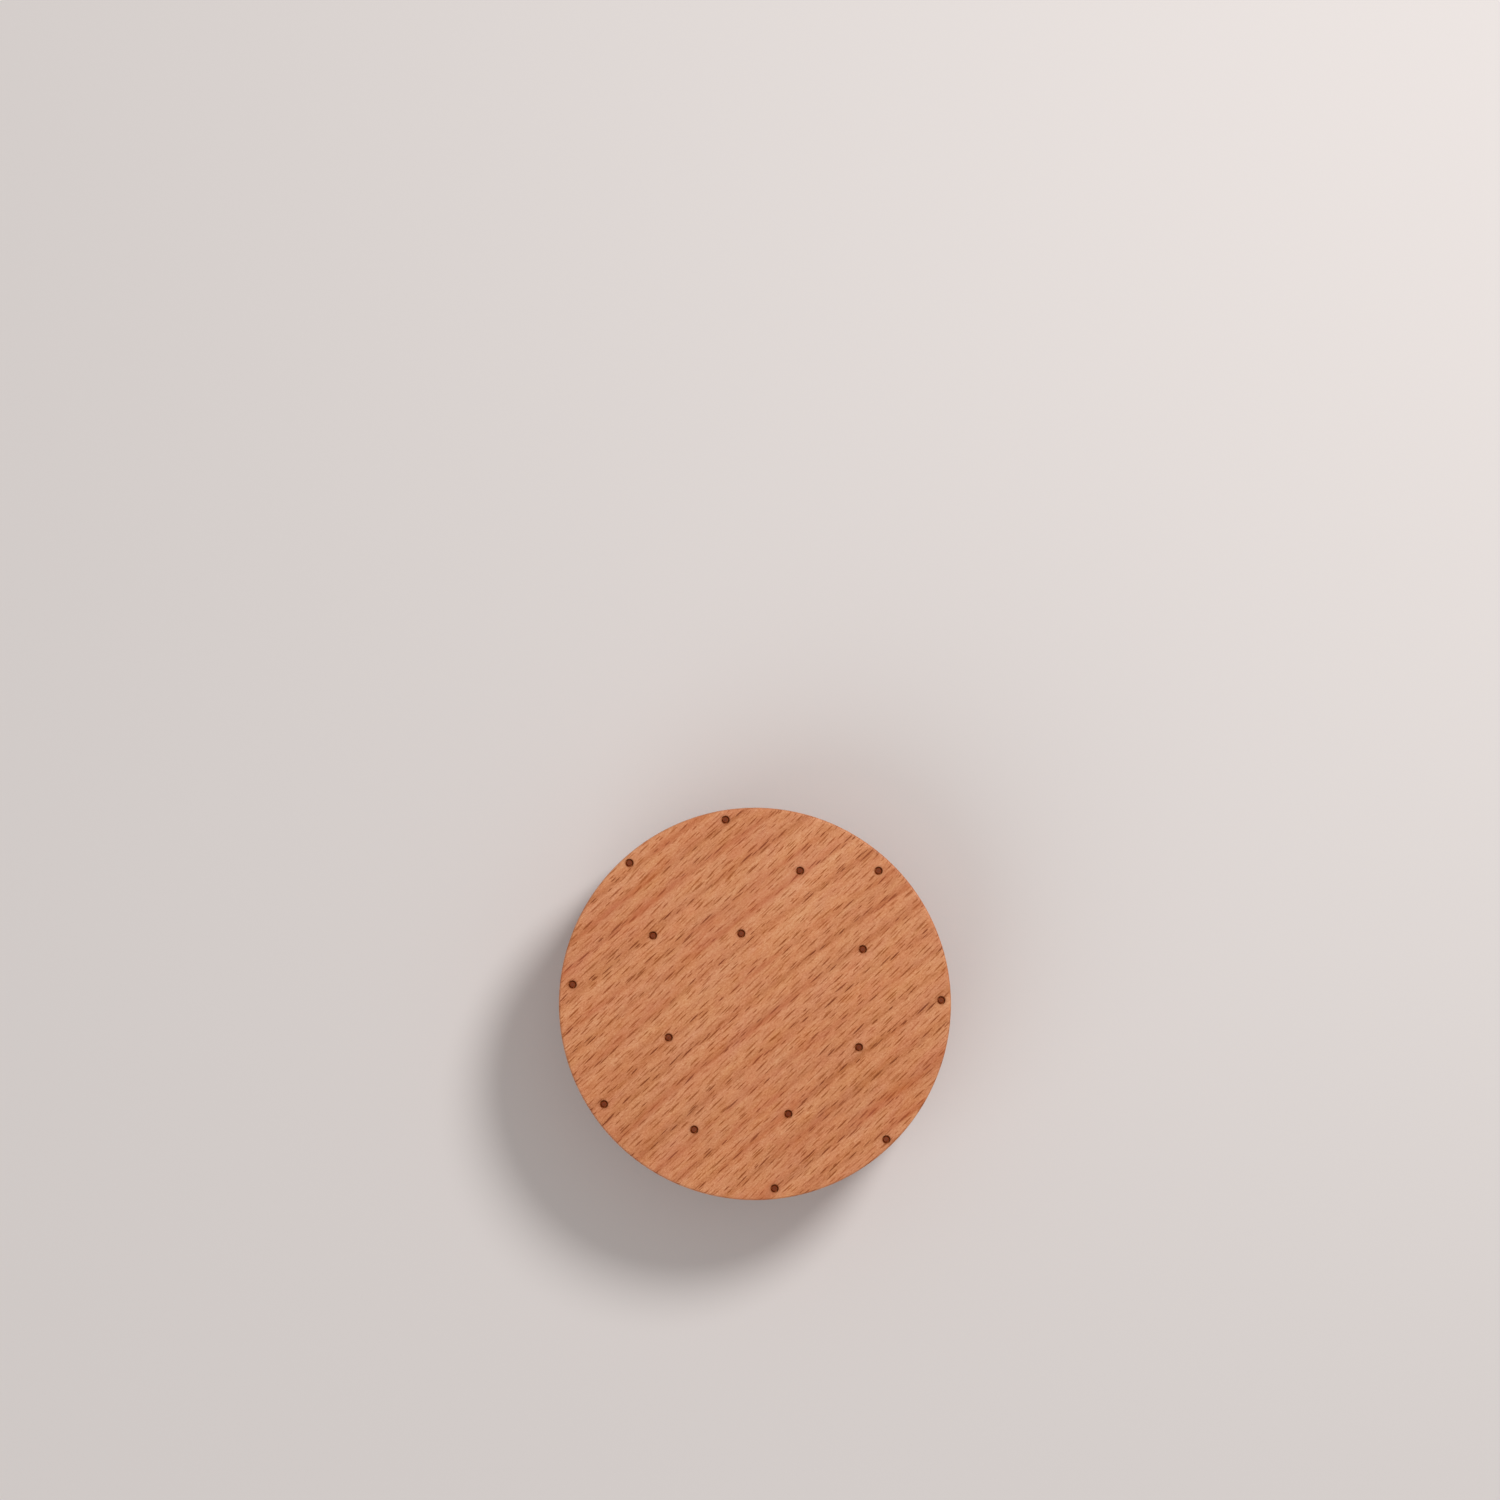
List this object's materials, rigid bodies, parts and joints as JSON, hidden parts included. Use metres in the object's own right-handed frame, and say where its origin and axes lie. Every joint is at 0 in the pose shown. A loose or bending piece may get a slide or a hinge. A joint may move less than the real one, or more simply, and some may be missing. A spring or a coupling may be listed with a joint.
{
  "type": "carafe lid",
  "caption": "Round beech carafe lid: a thick plate with a spigot under it that drops into the neck, and small burnt dots over its top face.",
  "frame": {"origin": "centre of the spigot's lower face, which the lid rests on when it is off the carafe", "axes": "+Z along the turning axis, out of the dotted top face; +Y is up on the top face as the dots are laid out, and the grain runs at about 44 degrees from +X towards +Y"},
  "size_m": [0.066, 0.066, 0.019],
  "materials": {
    "beech": "turned, fine-sanded and oiled beech, matt to satin, with darker burnt dots"
  },
  "bodies": {
    "root": {"lid": "beech"}
  },
  "joints": []
}
